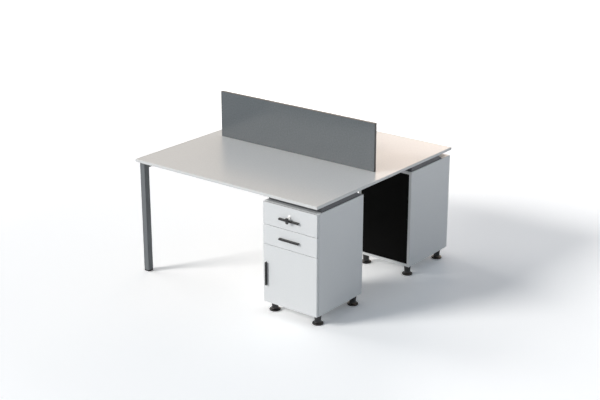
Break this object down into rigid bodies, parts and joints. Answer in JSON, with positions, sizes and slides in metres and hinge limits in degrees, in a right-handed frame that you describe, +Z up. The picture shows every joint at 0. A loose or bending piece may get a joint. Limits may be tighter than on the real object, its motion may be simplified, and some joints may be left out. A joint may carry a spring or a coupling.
{
  "type": "benching desk",
  "caption": "Benching desk for people who sit face to face, with a low screen between them, a goal-post leg and lockable drawer pedestals on waisted feet.",
  "frame": {"origin": "on the floor at the middle of the desk, under the joint of the tops", "axes": "+X along the desk towards the pedestals, +Y from the nearer user to the farther one, +Z up"},
  "size_m": [1.4, 1.4288, 1.04],
  "materials": {
    "desk_top": "warm white melamine-faced board with a satin face",
    "white_board": "white melamine-faced board",
    "screen_board": "slate grey melamine-faced board",
    "leg_steel": "slate grey powder coat on steel tube",
    "spacer_board": "graphite melamine-faced board",
    "black_board": "black melamine-faced back panel",
    "black_plastic": "moulded black polypropylene",
    "handle_black": "black powder coat on extruded aluminium",
    "zinc_steel": "zinc-plated sheet steel",
    "tray_paint": "grey powder coat on folded sheet steel",
    "lock_chrome": "satin chrome plate on die-cast zinc"
  },
  "bodies": {
    "desk": {"desktop_front": "desk_top", "desktop_rear": "desk_top", "screen_panel": "screen_board", "screen_bracket_left": "zinc_steel", "screen_bracket_right": "zinc_steel", "leg_frame": "leg_steel", "rail_front": "leg_steel", "rail_rear": "leg_steel", "spacer_front": "spacer_board", "spacer_rear": "spacer_board", "front_side_inner": "white_board", "front_side_outer": "white_board", "front_carcase_top": "white_board", "front_carcase_bottom": "white_board", "front_back_panel": "black_board", "front_top_drawer_runner_inner": "zinc_steel", "front_top_drawer_runner_outer": "zinc_steel", "front_second_drawer_runner_inner": "zinc_steel", "front_second_drawer_runner_outer": "zinc_steel", "front_hinge_upper": "zinc_steel", "front_hinge_lower": "zinc_steel", "rear_side_inner": "white_board", "rear_side_outer": "white_board", "rear_carcase_top": "white_board", "rear_carcase_bottom": "white_board", "rear_back_panel": "black_board", "rear_top_drawer_runner_inner": "zinc_steel", "rear_top_drawer_runner_outer": "zinc_steel", "rear_second_drawer_runner_inner": "zinc_steel", "rear_second_drawer_runner_outer": "zinc_steel", "rear_hinge_upper": "zinc_steel", "rear_hinge_lower": "zinc_steel"},
    "front_top_drawer": {"front_top_drawer_front": "white_board", "front_top_drawer_tray": "tray_paint", "front_top_drawer_handle": "handle_black"},
    "front_second_drawer": {"front_second_drawer_front": "white_board", "front_second_drawer_tray": "tray_paint", "front_second_drawer_handle": "handle_black"},
    "front_door": {"front_door": "white_board", "front_door_handle": "handle_black"},
    "front_lock": {"front_lock": "lock_chrome", "front_key": "lock_chrome"},
    "front_key_bow": {"front_key_bow": "black_plastic"},
    "front_foot_front_inner": {"front_foot_front_inner": "black_plastic"},
    "front_foot_front_outer": {"front_foot_front_outer": "black_plastic"},
    "front_foot_back_inner": {"front_foot_back_inner": "black_plastic"},
    "front_foot_back_outer": {"front_foot_back_outer": "black_plastic"},
    "rear_top_drawer": {"rear_top_drawer_front": "white_board", "rear_top_drawer_tray": "tray_paint", "rear_top_drawer_handle": "handle_black"},
    "rear_second_drawer": {"rear_second_drawer_front": "white_board", "rear_second_drawer_tray": "tray_paint", "rear_second_drawer_handle": "handle_black"},
    "rear_door": {"rear_door": "white_board", "rear_door_handle": "handle_black"},
    "rear_lock": {"rear_lock": "lock_chrome"},
    "rear_foot_front_inner": {"rear_foot_front_inner": "black_plastic"},
    "rear_foot_front_outer": {"rear_foot_front_outer": "black_plastic"},
    "rear_foot_back_inner": {"rear_foot_back_inner": "black_plastic"},
    "rear_foot_back_outer": {"rear_foot_back_outer": "black_plastic"}
  },
  "joints": [
    {"name": "front_top_drawer_slide", "type": "slide", "parent": "desk", "child": "front_top_drawer", "axis": [0, -1, 0], "range_m": [0, 0.29]},
    {"name": "front_second_drawer_slide", "type": "slide", "parent": "desk", "child": "front_second_drawer", "axis": [0, -1, 0], "range_m": [0, 0.29]},
    {"name": "front_door_hinge", "type": "hinge", "parent": "desk", "child": "front_door", "pos_m": [0.6897, -0.685, 0.2485], "axis": [0, 0, 1], "range_deg": [0, 100]},
    {"name": "front_lock_turn", "type": "hinge", "parent": "front_top_drawer", "child": "front_lock", "pos_m": [0.502, -0.68, 0.632], "axis": [0, 1, 0], "range_deg": [0, 90]},
    {"name": "front_key_bow_fold", "type": "hinge", "parent": "front_lock", "child": "front_key_bow", "pos_m": [0.502, -0.718, 0.632], "axis": [-1, 0, 0], "range_deg": [0, 90]},
    {"name": "front_foot_front_inner_turn", "type": "hinge", "parent": "desk", "child": "front_foot_front_inner", "pos_m": [0.344, -0.634, 0], "axis": [0, 0, 1], "continuous": true},
    {"name": "front_foot_front_outer_turn", "type": "hinge", "parent": "desk", "child": "front_foot_front_outer", "pos_m": [0.66, -0.634, 0], "axis": [0, 0, 1], "continuous": true},
    {"name": "front_foot_back_inner_turn", "type": "hinge", "parent": "desk", "child": "front_foot_back_inner", "pos_m": [0.344, -0.292, 0], "axis": [0, 0, 1], "continuous": true},
    {"name": "front_foot_back_outer_turn", "type": "hinge", "parent": "desk", "child": "front_foot_back_outer", "pos_m": [0.66, -0.292, 0], "axis": [0, 0, 1], "continuous": true},
    {"name": "rear_top_drawer_slide", "type": "slide", "parent": "desk", "child": "rear_top_drawer", "axis": [0, 1, 0], "range_m": [0, 0.29]},
    {"name": "rear_second_drawer_slide", "type": "slide", "parent": "desk", "child": "rear_second_drawer", "axis": [0, 1, 0], "range_m": [0, 0.29]},
    {"name": "rear_door_hinge", "type": "hinge", "parent": "desk", "child": "rear_door", "pos_m": [0.6897, 0.685, 0.2485], "axis": [0, 0, -1], "range_deg": [0, 100]},
    {"name": "rear_lock_turn", "type": "hinge", "parent": "rear_top_drawer", "child": "rear_lock", "pos_m": [0.502, 0.68, 0.632], "axis": [0, 1, 0], "range_deg": [0, 90]},
    {"name": "rear_foot_front_inner_turn", "type": "hinge", "parent": "desk", "child": "rear_foot_front_inner", "pos_m": [0.344, 0.634, 0], "axis": [0, 0, 1], "continuous": true},
    {"name": "rear_foot_front_outer_turn", "type": "hinge", "parent": "desk", "child": "rear_foot_front_outer", "pos_m": [0.66, 0.634, 0], "axis": [0, 0, 1], "continuous": true},
    {"name": "rear_foot_back_inner_turn", "type": "hinge", "parent": "desk", "child": "rear_foot_back_inner", "pos_m": [0.344, 0.292, 0], "axis": [0, 0, 1], "continuous": true},
    {"name": "rear_foot_back_outer_turn", "type": "hinge", "parent": "desk", "child": "rear_foot_back_outer", "pos_m": [0.66, 0.292, 0], "axis": [0, 0, 1], "continuous": true}
  ]
}
